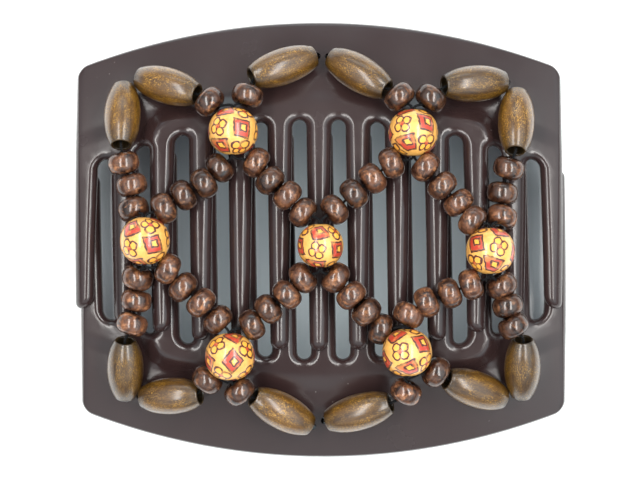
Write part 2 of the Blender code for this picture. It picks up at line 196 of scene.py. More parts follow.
def mould_comb(name, side):
    """The flat moulding is sliced finely, bowed along its spine and arched over the head."""
    outline = comb_outline()
    bm = bmesh.new()
    rings = []
    for inset, z in EDGE_SECTION:
        rings.append([bm.verts.new((p.x, p.y, z)) for p in inset_ring(outline, inset)])
    for low, high in zip(rings, rings[1:]):
        for i in range(len(low)):
            bm.faces.new((low[i - 1], high[i - 1], high[i], low[i]))
    bm.faces.new(rings[0])
    bm.faces.new(reversed(rings[-1]))
    bmesh.ops.recalc_face_normals(bm, faces=bm.faces[:])
    depth = FIRST_ROW
    while depth < COMB_HEIGHT:
        slice_at(bm, (0, -depth, 0), (0, 1, 0), bm.faces[:])
        on_shoulder = STEP_START - 1 < depth < STEP_END + 1
        depth += SHOULDER_SLICE if on_shoulder else ROW_SLICE
    slot_row = -SLOT_DEPTH - BAND_MARGIN
    columns = int(HALF_WIDTH / COLUMN_SLICE)
    for column in range(-columns, columns + 1):
        band = [f for f in bm.faces if max(v.co.y for v in f.verts) > slot_row]
        slice_at(bm, (column * COLUMN_SLICE, 0, 0), (1, 0, 0), band)
    for sign in (-1, 1):
        for i in range(SHOULDER_SLICES):
            edge = sign * (PLATFORM_EDGE - SHOULDER_LEAD + i * SHOULDER_SLICE) + COMB_OFFSET
            band = [f for f in bm.faces if max(v.co.y for v in f.verts) > slot_row]
            slice_at(bm, (edge, 0, 0), (1, 0, 0), band)
    for vert in bm.verts:
        x, depth, z = vert.co.x, -vert.co.y, vert.co.z
        thin = 1 - TIP_THINNING * smooth_step(depth, THIN_START, COMB_HEIGHT)
        y = side * (SPINE_Y - depth - spine_drop(x))
        x = side * (x - COMB_OFFSET)
        height = under_height(x, y, depth, side)
        above = z * thin if height > 0 else z
        vert.co = Vector((x, y, max(height + above, 0.0))) * MM
    mesh = bpy.data.meshes.new(name)
    bm.to_mesh(mesh)
    bm.free()
    mesh.shade_smooth()
    mesh.set_sharp_from_angle(angle=math.radians(SHARP_ANGLE))
    comb = bpy.data.objects.new(name, mesh)
    bpy.context.collection.objects.link(comb)
    return comb


def shader_group(name, inputs, outputs):
    """A node group with its sockets; inputs are (name, kind, value) and outputs (name, kind)."""
    group = bpy.data.node_groups.new(name, "ShaderNodeTree")
    for label, kind, value in inputs:
        socket = group.interface.new_socket(label, in_out="INPUT", socket_type=kind)
        if value is not None:
            socket.default_value = value
    for label, kind in outputs:
        group.interface.new_socket(label, in_out="OUTPUT", socket_type=kind)
    return group, group.nodes.new("NodeGroupInput"), group.nodes.new("NodeGroupOutput")


def add_node(tree, kind, settings=None, **links):
    """Adds a node; links go to its sockets by name or, as s0, s1 and so on, by number."""
    node = tree.nodes.new(kind)
    for key, value in (settings or {}).items():
        setattr(node, key, value)
    for key, value in links.items():
        socket = node.inputs[int(key[1:])] if key[0] == "s" and key[1:].isdigit() else node.inputs[key]
        if isinstance(value, bpy.types.NodeSocket):
            tree.links.new(value, socket)
        else:
            socket.default_value = value
    return node


def maths(tree, operation, *values):
    links = {f"s{i}": value for i, value in enumerate(values)}
    return add_node(tree, "ShaderNodeMath", {"operation": operation}, **links).outputs[0]


def noise(tree, vector, scale, detail=3.0, roughness=0.55, distortion=0.0):
    node = add_node(
        tree, "ShaderNodeTexNoise", None,
        Vector=vector, Scale=scale, Detail=detail, Roughness=roughness, Distortion=distortion,
    )
    return node.outputs["Fac"]


def ramp(tree, factor, stops):
    """A colour ramp; each stop is (place, grey) or (place, (r, g, b))."""
    node = add_node(tree, "ShaderNodeValToRGB", None, Fac=factor)
    band = node.color_ramp
    while len(band.elements) < len(stops):
        band.elements.new(0.5)
    for element, (place, colour) in zip(band.elements, stops):
        element.position = place
        element.color = (*colour, 1) if isinstance(colour, tuple) else (colour, colour, colour, 1)
    return node.outputs["Color"]


def mix_colour(tree, factor, a, b, blend="MIX"):
    node = tree.nodes.new("ShaderNodeMix")
    node.data_type = "RGBA"
    node.blend_type = blend
    for socket, value in ((node.inputs[0], factor), (node.inputs[6], a), (node.inputs[7], b)):
        if isinstance(value, bpy.types.NodeSocket):
            tree.links.new(value, socket)
        else:
            socket.default_value = (*value, 1) if isinstance(value, tuple) else value
    return node.outputs[2]


# Dust and handling: pale specks where lint sits and a cloudy mask where fingers have dulled the gloss
handling, handling_in, handling_out = shader_group(
    "handling_marks",
    [("Vector", "NodeSocketVector", None)],
    [("Specks", "NodeSocketFloat"), ("Smears", "NodeSocketFloat")],
)
handled = handling_in.outputs["Vector"]
speck_cells = add_node(handling, "ShaderNodeTexVoronoi", None, Vector=handled, Scale=420.0)
speck_dots = ramp(handling, speck_cells.outputs["Distance"], [(0.0, 1.0), (0.09, 0.0)])
speck_few = ramp(handling, noise(handling, handled, 90.0, 1.0), [(0.6, 0.0), (0.66, 1.0)])
handling.links.new(maths(handling, "MULTIPLY", speck_dots, speck_few), handling_out.inputs["Specks"])
smears = ramp(handling, noise(handling, handled, 55.0, 5.0, 0.6), [(0.35, 0.0), (0.7, 1.0)])
handling.links.new(smears, handling_out.inputs["Smears"])


def moulded_brown():
    material = bpy.data.materials.new("moulded_brown")
    material.use_nodes = True
    tree = material.node_tree
    shader = tree.nodes["Principled BSDF"]
    where = add_node(tree, "ShaderNodeTexCoord").outputs["Object"]
    marks = add_node(tree, "ShaderNodeGroup", {"node_tree": handling}, Vector=where)
    clouds = noise(tree, where, 30.0, 4.0)
    brown = mix_colour(tree, clouds, (0.0195, 0.0098, 0.0098), (0.026, 0.0145, 0.0142))
    dust = maths(tree, "MULTIPLY", marks.outputs["Specks"], 0.35)
    dusty = mix_colour(tree, dust, brown, (0.45, 0.42, 0.4))
    tree.links.new(dusty, shader.inputs["Base Color"])
    rough = add_node(
        tree, "ShaderNodeMapRange", None, Value=marks.outputs["Smears"], s3=0.19, s4=0.28
    ).outputs["Result"]
    tree.links.new(rough, shader.inputs["Roughness"])
    shader.inputs["Specular IOR Level"].default_value = 0.5
    peel = noise(tree, where, 260.0, 2.0)
    drawn = add_node(tree, "ShaderNodeMapping", None, Vector=where, Scale=(900.0, 40.0, 900.0))
    scratches = noise(tree, drawn.outputs[0], 1.0, 2.0)
    relief = maths(tree, "ADD", maths(tree, "MULTIPLY", peel, 0.8), maths(tree, "MULTIPLY", scratches, 0.12))
    ripple = noise(tree, where, 900.0, 1.0)
    relief = maths(tree, "ADD", relief, maths(tree, "MULTIPLY", ripple, 0.14))
    bump = add_node(tree, "ShaderNodeBump", None, Height=relief, Strength=0.12, Distance=0.0004)
    tree.links.new(bump.outputs["Normal"], shader.inputs["Normal"])
    return material


# The elastic's holes lie in pairs, each just past the inner end of an oval bead
OVAL_LENGTHS = [16.4, 16.2, 16.6, 16.6, 15.8, 16.3, 15.2, 15.0, 16.0, 16.2, 16.0, 15.2]
LEG_REACH = 0.75
HOLE_RADIUS = 0.85
DRILL_DEPTH = 30.0
AXIS_ROUNDS = 80  # enough for the longest direction of a bead to settle


def turned_frame(node):
    """Where a turned CAD bead lies: its middle in millimetres and the direction of its bore."""
    points = [vert.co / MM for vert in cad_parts[node].data.vertices]
    middle = sum(points, Vector()) / len(points)
    offsets = [point - middle for point in points]
    spread = Matrix([[sum(o[i] * o[j] for o in offsets) for j in range(3)] for i in range(3)])
    along = Vector((1, 0.3, 0.1))
    for _ in range(AXIS_ROUNDS):
        along = (spread @ along).normalized()
    return middle, along


# Each oval bead's middle and its bore, pointing at the neighbour that it meets
OVALS = []
for number in range(1, 13):
    middle, along = turned_frame(f"oval_bead_{number:02d}")
    neighbour, _ = turned_frame(f"oval_bead_{number + 1 if number % 2 else number - 1:02d}")
    OVALS.append((middle, along if along.dot(neighbour - middle) > 0 else -along))

comb_plastic = moulded_brown()
for node, side, first in (("comb_upper", 1, 0), ("comb_lower", -1, 6)):
    comb = mould_comb(node + "_moulding", side)
    comb.data.materials.append(comb_plastic)
    for (middle, along), length in zip(OVALS[first:first + 6], OVAL_LENGTHS[first:first + 6]):
        leg = middle + along * (length / 2 + LEG_REACH)
        bpy.ops.mesh.primitive_cylinder_add(
            vertices=24,
            radius=HOLE_RADIUS * MM,
            depth=DRILL_DEPTH * MM,
            location=(leg.x * MM, leg.y * MM, 0),
        )
        drill = bpy.context.object
        bore = comb.modifiers.new("bore", "BOOLEAN")
        bore.operation = "DIFFERENCE"
        bore.object = drill
        bpy.context.view_layer.objects.active = comb
        bpy.ops.object.modifier_apply(modifier=bore.name)
        bpy.data.objects.remove(drill)
    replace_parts(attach(comb, "root"), node)

# Oval beads
# Twelve turned hardwood beads, stained olive brown and lacquered over a golden grain, drilled wide
# lengthwise. They lie along the spines in pairs: the ends that meet are pulled down to their holes.

OVAL_RADIUS = 4.3
OVAL_END_RADIUS = 2.65
OVAL_BORE = 1.95
OVAL_RIM = 0.45


def bead_section(length, radius, end_radius, bore, rounding):
    """Section of a turned bead as (radius, height): its belly, a rounded rim and its bore."""
    half = length / 2
    reach = math.acos(end_radius / radius)
    belly = []
    for i in range(21):
        angle = reach * (1 - i / 10)
        belly.append((radius * math.cos(angle), (half - rounding) * math.sin(angle) / math.sin(reach)))
    rim = [
        (end_radius - rounding * 0.15, half - rounding * 0.45),
        (end_radius - rounding * 0.5, half - rounding * 0.12),
        ((end_radius + bore) / 2, half),
        (bore + rounding * 0.1, half - rounding * 0.15),
        (bore, half - rounding * 0.6),
        (bore, half / 2),
    ]
    return belly + [(r, -z) for r, z in rim] + rim[::-1]


# Painted shade round a bore's mouth: how far toward full darkness it goes, and over how many millimetres it
# fades
MOUTH_SHADE = 0.9
MOUTH_SHADE_REACH = 2.1
OVAL_SIDES = 48


def lathe(bm, section, sides, place, pattern, stain_and_shade):
    """Turns a section round Z and sets it in place. Its vertices keep where they were turned, and
    how dark each is: the bead's staining, deepened by painted shade round the bore's mouth and set to 1
    inside it."""
    bore = min(radius for radius, _ in section)
    space = bm.verts.layers.float_vector.get("bead_space") or bm.verts.layers.float_vector.new("bead_space")
    shade = bm.verts.layers.float.get("stain_and_shade") or bm.verts.layers.float.new("stain_and_shade")
    rings = []
    for radius, height in section:
        # Painted shade: full inside the bore, and deepening the bead's staining near its mouth
        if radius < bore + 0.02:
            darkness = 1.0
        else:
            darkness = stain_and_shade + (1 - stain_and_shade) * MOUTH_SHADE * max(0.0, 1 - (radius - bore) / MOUTH_SHADE_REACH)
        ring = []
        for i in range(sides):
            angle = 2 * math.pi * i / sides
            local = Vector((radius * math.cos(angle), radius * math.sin(angle), height))
            vert = bm.verts.new(place @ local * MM)
            vert[space] = pattern @ local
            vert[shade] = darkness
            ring.append(vert)
        rings.append(ring)
    for low, high in zip(rings, rings[1:] + rings[:1]):
        for i in range(sides):
            bm.faces.new((low[i - 1], high[i - 1], high[i], low[i])).smooth = True


def bead_object(name, bm, material):
    bmesh.ops.recalc_face_normals(bm, faces=bm.faces[:])
    mesh = bpy.data.meshes.new(name)
    bm.to_mesh(mesh)
    bm.free()
    mesh.materials.append(material)
    bead = bpy.data.objects.new(name, mesh)
    bpy.context.collection.objects.link(bead)
    return bead


# Wood grain along a bead: broad bands, fine lines, patches of short bright flecks, and dark pores
grain, grain_in, grain_out = shader_group(
    "turned_grain",
    [("Vector", "NodeSocketVector", None), ("Fleck width", "NodeSocketFloat", 1.0)],
    [(name, "NodeSocketFloat") for name in ("Bands", "Lines", "Flecks", "Pores")],
)
along_grain = grain_in.outputs["Vector"]
fleck_scale = maths(grain, "DIVIDE", 2.9, grain_in.outputs["Fleck width"])
short = add_node(grain, "ShaderNodeMapping", None, Vector=along_grain, Scale=(1.0, 1.0, 0.45)).outputs[0]
long = add_node(grain, "ShaderNodeMapping", None, Vector=along_grain, Scale=(1.0, 1.0, 0.1)).outputs[0]
bands = ramp(grain, noise(grain, long, 0.75, 3.0), [(0.36, 0.0), (0.62, 1.0)])
lines = ramp(grain, noise(grain, long, 3.6, 3.0, 0.65, 0.6), [(0.42, 0.0), (0.62, 1.0)])
flecks = ramp(grain, noise(grain, short, fleck_scale, 4.0, 0.7, 0.5), [(0.5, 0.0), (0.63, 1.0)])
patches = ramp(grain, noise(grain, short, 0.5, 2.0), [(0.38, 0.15), (0.62, 1.0)])
pore_scale = maths(grain, "MULTIPLY", fleck_scale, 1.7)
pores = ramp(grain, noise(grain, short, pore_scale, 3.0), [(0.54, 0.0), (0.66, 1.0)])
grain.links.new(bands, grain_out.inputs["Bands"])
grain.links.new(lines, grain_out.inputs["Lines"])
grain.links.new(maths(grain, "MULTIPLY", flecks, patches), grain_out.inputs["Flecks"])
grain.links.new(pores, grain_out.inputs["Pores"])


def lacquered_wood(name, dark, middle, bright, pore, fleck_width, dark_stain_and_shade, gloss, tint):
    """Lacquered turned wood: two browns in bands and lines, bright flecks and dark pores, darkened by
    staining and by painted shade in and round the bore, under a tinted coat."""
    material = bpy.data.materials.new(name)
    material.use_nodes = True
    tree = material.node_tree
    shader = tree.nodes["Principled BSDF"]
    where = add_node(tree, "ShaderNodeAttribute", {"attribute_name": "bead_space"}).outputs["Vector"]
    stain_and_shade = add_node(tree, "ShaderNodeAttribute", {"attribute_name": "stain_and_shade"}).outputs["Fac"]
    wood = add_node(tree, "ShaderNodeGroup", {"node_tree": grain}, s0=where, s1=fleck_width)
    colour = mix_colour(tree, wood.outputs["Bands"], dark, middle)
    colour = mix_colour(tree, maths(tree, "MULTIPLY", wood.outputs["Lines"], 0.3), colour, dark)
    colour = mix_colour(tree, wood.outputs["Flecks"], colour, bright)
    colour = mix_colour(tree, maths(tree, "MULTIPLY", wood.outputs["Pores"], 0.75), colour, pore)
    # The bead's staining and the painted shade in and round its bore darken the wood here
    colour = mix_colour(tree, stain_and_shade, colour, dark_stain_and_shade, "MULTIPLY")
    tree.links.new(colour, shader.inputs["Base Color"])
    object_place = add_node(tree, "ShaderNodeTexCoord").outputs["Object"]
    marks = add_node(tree, "ShaderNodeGroup", {"node_tree": handling}, s0=object_place)
    rough = add_node(tree, "ShaderNodeMapRange", None, Value=marks.outputs["Smears"], s3=0.3, s4=0.42)
    tree.links.new(rough.outputs["Result"], shader.inputs["Roughness"])
    shader.inputs["Specular IOR Level"].default_value = 0.2
    shader.inputs["Coat Weight"].default_value = 1.0
    shader.inputs["Coat Roughness"].default_value = gloss
    shader.inputs["Coat Tint"].default_value = (*tint, 1)
    relief = maths(tree, "SUBTRACT", wood.outputs["Lines"], wood.outputs["Pores"])
    bump = add_node(tree, "ShaderNodeBump", None, Height=relief, Strength=0.3, Distance=0.0001)
    tree.links.new(bump.outputs["Normal"], shader.inputs["Normal"])
    return material


olive_wood = lacquered_wood(
    "olive_wood", (0.05, 0.019, 0.0028), (0.13, 0.056, 0.0075), (0.48, 0.245, 0.03), (0.018, 0.0065, 0.0018),
    0.56, (0.1, 0.13, 0.3), 0.25, (1.0, 1.0, 1.0),
)
OVAL_STAINS = [0.1, 0.12, 0.16, 0.28, 0.38, 0.02, 0.48, 0.27, 0.04, 0.3, 0.3, 0.48]
chance = random.Random(7)


def scattered():
    """A far-off random place in the wood, so that no two beads share their grain."""
    return Matrix.Translation(Vector([chance.uniform(-200, 200) for _ in range(3)]))


def bead_place(middle, along):
    aim = along.to_track_quat("Z", "Y").to_matrix().to_4x4()
    return Matrix.Translation(middle) @ aim @ Matrix.Rotation(chance.uniform(0, 6.28), 4, "Z")


for number, ((middle, along), length, darkness) in enumerate(zip(OVALS, OVAL_LENGTHS, OVAL_STAINS), 1):
    bm = bmesh.new()
    section = bead_section(length, OVAL_RADIUS, OVAL_END_RADIUS, OVAL_BORE, OVAL_RIM)
    lathe(bm, section, OVAL_SIDES, bead_place(middle, along), scattered(), darkness)
    oval = bead_object(f"oval_{number:02d}", bm, olive_wood)
    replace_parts(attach(oval, "root"), f"oval_bead_{number:02d}")

# Spacer beads
# Eight small rondelles of dark stained wood, one between each oval bead's raised end and a printed
# bead. They hang on the same elastic, so each has settled at its own tilt.

RONDELLE_RADIUS = 3.75
RONDELLE_LENGTH = 5.2
RONDELLE_BORE = 0.9
RONDELLE_FULLNESS = 2.45  # 2 would be an ellipse
RONDELLE_SIDES = 40
BORE_LEVELLING = 0.45  # the share of its cord's slope that a rondelle follows
CLOUDED = Matrix.Diagonal((1, 1, 2.8, 1))  # squeezes the grain lengthwise, so that it lies in clouds


def rondelle_section(length, radius, bore):
    """Section of a full, round rondelle and its bore, as (radius, height)."""
    half = length / 2
    belly = []
    for i in range(29):
        angle = math.radians(-79 + 158 * i / 28)
        out = math.cos(angle) ** (2 / RONDELLE_FULLNESS)
        up = math.copysign(abs(math.sin(angle)) ** (2 / RONDELLE_FULLNESS), angle)
        belly.append((bore + 0.12 + (radius - bore - 0.12) * out, half * up))
    mouth = [(bore, half * 0.93), (bore, half * 0.5)]
    return belly + mouth + [(r, -z) for r, z in reversed(mouth)]


dark_wood = lacquered_wood(
    "dark_wood", (0.03, 0.012, 0.008), (0.25, 0.108, 0.053), (0.64, 0.31, 0.14), (0.05, 0.021, 0.013),
    6.0, (0.065, 0.055, 0.055), 0.18, (0.58, 0.51, 0.49),
)
SPACERS = []
for number in range(1, 9):
    middle, along = turned_frame(f"spacer_bead_{number}")
    SPACERS.append((middle, along))
    along = Vector((along.x, along.y, along.z * BORE_LEVELLING))
    bm = bmesh.new()
    section = rondelle_section(RONDELLE_LENGTH, RONDELLE_RADIUS, RONDELLE_BORE)
    place = bead_place(middle, along)
    pattern = scattered() @ CLOUDED
    lathe(bm, section, RONDELLE_SIDES, place, pattern, chance.uniform(0.1, 0.7))
    spacer = bead_object(f"spacer_{number}", bm, dark_wood)
    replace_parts(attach(spacer, "root"), f"spacer_bead_{number}")

# Printed beads
# Seven round beads of pale yellow lacquered wood, bored along Y. A common pattern is transfer printed
# all round them: slanted red squares with a small square inside, and flowers of four rings.

PRINT_RADIUS = 5.8
PRINT_BORE = 1.2
BALL_FLATNESS = 0.96
BALL_FULLNESS = 2.15
BALL_SIDES = 56
ROW_ANGLE = 0.85
INK_BLUR = 0.06
# Each one's share of the full radius, and how the print lies: tipped, rolled and spun, in degrees
PRINTS = {
    "top_left": (1.0, (8, -6, 127)),
    "top_right": (1.0, (25, 4, 117)),
    "left": (1.0, (-14, 10, 128)),
    "centre": (0.92, (-13, -4, 98)),
    "right": (0.98, (15, -12, 75)),
    "bottom_left": (1.0, (0, -45, 138)),
    "bottom_right": (1.0, (12, 22, 105)),
}

# The print, laid out on the ball in rows and cells: where it is red, where it is line and where filled
transfer, transfer_in, transfer_out = shader_group(
    "bead_transfer",
    [("Vector", "NodeSocketVector", None)],
    [("Red", "NodeSocketFloat"), ("Line", "NodeSocketFloat"), ("Fill", "NodeSocketFloat")],
)


def ball_section(radius, bore):
    """Section of a round bead and its bore, as (radius, height)."""
    edge = math.asin((bore + 0.1) / radius)
    belly = []
    for i in range(33):
        angle = math.pi / 2 - edge - (math.pi - 2 * edge) * i / 32
        out = math.cos(angle) ** (2 / BALL_FULLNESS)
        up = math.copysign(abs(math.sin(angle)) ** (2 / BALL_FULLNESS), angle)
        belly.append((radius * out, radius * BALL_FLATNESS * up))
    low = belly[-1][1]
    return belly + [(bore, low + 0.2), (bore, 0), (bore, -low - 0.2)]


def below(tree, value, edge):
    """1 where a distance in millimetres is under an edge, softened like ink."""
    ink = add_node(tree, "ShaderNodeMapRange", None, Value=value, s1=edge + INK_BLUR, s2=edge - INK_BLUR)
    return ink.outputs["Result"]


tree = transfer
outward = add_node(
    tree, "ShaderNodeVectorMath", {"operation": "NORMALIZE"}, s0=transfer_in.outputs["Vector"]
).outputs[0]
split = add_node(tree, "ShaderNodeSeparateXYZ", None, s0=outward)
latitude = maths(tree, "ARCSINE", split.outputs[2])
longitude = maths(tree, "ARCTAN2", split.outputs[1], split.outputs[0])
row = maths(tree, "ROUND", maths(tree, "DIVIDE", latitude, ROW_ANGLE))
cell_width = maths(tree, "MULTIPLY_ADD", maths(tree, "ABSOLUTE", row), math.radians(12), math.radians(60))
column = maths(tree, "ROUND", maths(tree, "DIVIDE", longitude, cell_width))
row_angle = maths(tree, "MULTIPLY", row, ROW_ANGLE)
across = maths(tree, "SUBTRACT", longitude, maths(tree, "MULTIPLY", column, cell_width))
across = maths(tree, "MULTIPLY", across, maths(tree, "COSINE", row_angle))
up = maths(tree, "SUBTRACT", latitude, row_angle)
wobble = add_node(tree, "ShaderNodeTexNoise", None, Vector=outward, Scale=6.0, Detail=2.0)
wobbles = add_node(tree, "ShaderNodeSeparateXYZ", None, s0=wobble.outputs["Color"])
wobble_x = maths(tree, "MULTIPLY_ADD", wobbles.outputs[0], 0.7, -0.35)
wobble_y = maths(tree, "MULTIPLY_ADD", wobbles.outputs[1], 0.7, -0.35)
flat_x = maths(tree, "MULTIPLY_ADD", across, PRINT_RADIUS, wobble_x)
flat_y = maths(tree, "MULTIPLY_ADD", up, PRINT_RADIUS, wobble_y)

# Each cell leans its own way
column = maths(tree, "FLOORED_MODULO", column, 6.0)
cell = add_node(tree, "ShaderNodeCombineXYZ", None, X=column, Y=row, Z=0.5).outputs[0]
luck = add_node(tree, "ShaderNodeTexWhiteNoise", None, Vector=cell).outputs["Value"]
lean = maths(tree, "MULTIPLY_ADD", luck, 0.9, -0.45)
lean_cos = maths(tree, "COSINE", lean)
lean_sin = maths(tree, "SINE", lean)
x = maths(
    tree, "SUBTRACT", maths(tree, "MULTIPLY", flat_x, lean_cos), maths(tree, "MULTIPLY", flat_y, lean_sin)
)
y = maths(tree, "ADD", maths(tree, "MULTIPLY", flat_x, lean_sin), maths(tree, "MULTIPLY", flat_y, lean_cos))

# The square, its border, and the small square set off its middle
slant = maths(tree, "MULTIPLY_ADD", y, 0.2, x)
square = maths(tree, "MAXIMUM", maths(tree, "ABSOLUTE", slant), maths(tree, "ABSOLUTE", y))
inner_x = maths(tree, "ABSOLUTE", maths(tree, "ADD", slant, -0.3))
inner_y = maths(tree, "ABSOLUTE", maths(tree, "ADD", y, -0.25))
inner = maths(tree, "MAXIMUM", inner_x, inner_y)
square_all = below(tree, square, 2.2)
square_red = below(tree, square, 1.72)
inner_all = below(tree, inner, 1.0)
inner_fill = below(tree, inner, 0.58)

# The flower: four rings, filled, and a red middle
ring_x = maths(tree, "ADD", maths(tree, "ABSOLUTE", x), -0.95)
ring_y = maths(tree, "ADD", maths(tree, "ABSOLUTE", y), -0.95)
ring_square = maths(tree, "ADD", maths(tree, "POWER", ring_x, 2.0), maths(tree, "POWER", ring_y, 2.0))
ring = maths(tree, "POWER", ring_square, 0.5)
middle = maths(tree, "MAXIMUM", maths(tree, "ABSOLUTE", x), maths(tree, "ABSOLUTE", y))
ring_all = below(tree, ring, 1.2)
ring_fill = below(tree, ring, 0.75)
heart = below(tree, middle, 0.42)

# Squares and flowers take turns, and the rows stop short of the bores
parity = maths(tree, "FLOORED_MODULO", maths(tree, "ADD", column, row), 2.0)
in_rows = below(tree, maths(tree, "ABSOLUTE", row), 1.5)
is_square = maths(tree, "MULTIPLY", parity, in_rows)
is_flower = maths(tree, "MULTIPLY", maths(tree, "SUBTRACT", 1.0, parity), in_rows)


def chosen(tree, square_mask, flower_mask):
    """The square's mask in the squares' cells and the flower's mask in the flowers' cells."""
    from_square = maths(tree, "MULTIPLY", square_mask, is_square)
    return maths(tree, "MULTIPLY_ADD", flower_mask, is_flower, from_square)


def without(tree, mask, other):
    return maths(tree, "MULTIPLY", mask, maths(tree, "SUBTRACT", 1.0, other))


red = chosen(tree, without(tree, square_red, inner_all), heart)
fill = chosen(tree, inner_fill, without(tree, ring_fill, heart))
outer_border = without(tree, square_all, square_red)
inner_border = without(tree, inner_all, inner_fill)
square_line = maths(tree, "MAXIMUM", outer_border, inner_border)
line = chosen(tree, square_line, without(tree, without(tree, ring_all, ring_fill), heart))
tree.links.new(red, transfer_out.inputs["Red"])
tree.links.new(line, transfer_out.inputs["Line"])
tree.links.new(fill, transfer_out.inputs["Fill"])

INKS = {"Fill": (0.82, 0.36, 0.045), "Red": (0.42, 0.036, 0.016), "Line": (0.06, 0.008, 0.007)}
printed_wood = bpy.data.materials.new("printed_wood")
printed_wood.use_nodes = True
tree = printed_wood.node_tree
shader = tree.nodes["Principled BSDF"]
where = add_node(tree, "ShaderNodeAttribute", {"attribute_name": "bead_space"}).outputs["Vector"]
wood = add_node(tree, "ShaderNodeGroup", {"node_tree": grain}, s0=where, s1=0.8)
pattern = add_node(tree, "ShaderNodeGroup", {"node_tree": transfer}, s0=where)
mottled = ramp(tree, noise(tree, where, 0.75, 4.0, 0.65), [(0.38, 0.0), (0.62, 1.0)])
worn = ramp(tree, noise(tree, where, 0.42, 3.0, 0.6), [(0.38, 0.6), (0.46, 1.0)])
colour = mix_colour(tree, mottled, (0.61, 0.29, 0.06), (0.74, 0.38, 0.09))
flecked = maths(tree, "MULTIPLY", wood.outputs["Flecks"], 0.3)
colour = mix_colour(tree, flecked, colour, (0.66, 0.33, 0.07))
for ink, ink_colour in INKS.items():
    colour = mix_colour(tree, maths(tree, "MULTIPLY", pattern.outputs[ink], worn), colour, ink_colour)
tree.links.new(colour, shader.inputs["Base Color"])
object_place = add_node(tree, "ShaderNodeTexCoord").outputs["Object"]
marks = add_node(tree, "ShaderNodeGroup", {"node_tree": handling}, s0=object_place)
rough = add_node(tree, "ShaderNodeMapRange", None, Value=marks.outputs["Smears"], s3=0.35, s4=0.5)
tree.links.new(rough.outputs["Result"], shader.inputs["Roughness"])
shader.inputs["Coat Weight"].default_value = 0.6
shader.inputs["Coat Roughness"].default_value = 0.16
bump = add_node(tree, "ShaderNodeBump", None, Height=wood.outputs["Flecks"], Strength=0.15, Distance=0.0002)
tree.links.new(bump.outputs["Normal"], shader.inputs["Normal"])

PRINT_MIDDLES = {}
for name, (size, turns) in PRINTS.items():
    corners = [vert.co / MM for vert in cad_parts[f"print_bead_{name}"].data.vertices]
    centre = sum(corners, Vector()) / len(corners)
    PRINT_MIDDLES[name] = centre
    along_bore = Matrix.Translation(centre) @ Matrix.Rotation(math.radians(-90), 4, "X")
    tip, roll, spin = (math.radians(angle) for angle in turns)
    turned = Matrix.Rotation(spin, 4, "Z") @ Matrix.Rotation(tip, 4, "X") @ Matrix.Rotation(roll, 4, "Y")
    bm = bmesh.new()
    lathe(bm, ball_section(PRINT_RADIUS * size, PRINT_BORE), BALL_SIDES, along_bore, turned, 0.0)
    bead = bead_object(f"printed_{name}", bm, printed_wood)
    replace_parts(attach(bead, "root"), f"print_bead_{name}")

# Strands
# Twelve runs of elastic: eight diagonal ones with four stained rondelles each and four side ones
# with three, threaded by hand between the printed beads and the ends of the loops.

ELASTIC_RADIUS = 0.3
CORD_SIDES, CORD_STEPS = 10, 6
RONDELLE_REST = 4.0
REST_STEPS = 6
SWAY = 0.1
# A printed bead's two cords lie beside each other in its bore; the first place is outside its rim
BORE_BESIDE = 0.45
BORE_PLACES = (0.35, -1.2)
MOUTH_AHEAD, MOUTH_INSIDE = 0.2, 1.0
# Each strand: the printed beads at its ends, or None beside an oval bead, and its rondelles in plan
STRANDS = {
    "left_up": (None, "left", [(-46.4, 18.0), (-44.5, 12.8), (-44.0, 7.1)]),
    "left_down": ("left", None, [(-43.0, -8.9), (-43.4, -14.3), (-44.4, -19.8)]),
    "right_up": (None, "right", [(44.0, 16.8), (42.5, 10.9), (42.3, 5.3)]),
    "right_down": ("right", None, [(42.2, -10.7), (43.7, -15.5), (45.0, -20.2)]),
    "left_to_top": ("left", "top_left", [(-36.7, 7.3), (-32.2, 10.4), (-27.4, 13.1), (-23.8, 16.8)]),
    "top_to_centre": ("top_left", "centre", [(-15.2, 18.0), (-11.9, 13.8), (-7.9, 10.3), (-4.3, 6.3)]),
    "centre_to_top": ("centre", "top_right", [(3.1, 7.0), (7.6, 10.7), (12.0, 14.3), (16.4, 17.9)]),
    "top_to_right": ("top_right", "right", [(24.4, 17.0), (28.2, 12.6), (32.1, 8.6), (35.2, 4.4)]),
    "right_to_bottom": (
        "right", "bottom_right", [(34.9, -10.4), (29.9, -12.5), (24.6, -14.6), (20.3, -17.5)],
    ),
    "bottom_to_centre": (
        "bottom_right", "centre", [(13.9, -20.9), (10.5, -16.8), (7.0, -13.0), (3.4, -8.9)],
    ),
    "centre_to_bottom": (
        "centre", "bottom_left", [(-4.3, -8.9), (-8.0, -12.8), (-12.3, -16.2), (-16.2, -19.9)],
    ),
    "bottom_to_left": (
        "bottom_left", "left", [(-24.2, -18.7), (-28.0, -14.7), (-32.3, -11.1), (-35.8, -6.8)],
    ),
}


def rest_height(x, y, radius):
    """Height at which a ball of a radius lies just clear of the combs under a point."""
    highest = 0.0
    for i in range(-REST_STEPS, REST_STEPS + 1):
        for j in range(-REST_STEPS, REST_STEPS + 1):
            dx, dy = radius * i / REST_STEPS, radius * j / REST_STEPS
            reach = radius * radius - dx * dx - dy * dy
            if reach < 0:
                continue
            for side in (1, -1):
                top = crest(x + dx, y + dy, side)
                if top is not None:
                    highest = max(highest, top + math.sqrt(reach))
    return highest + GAP


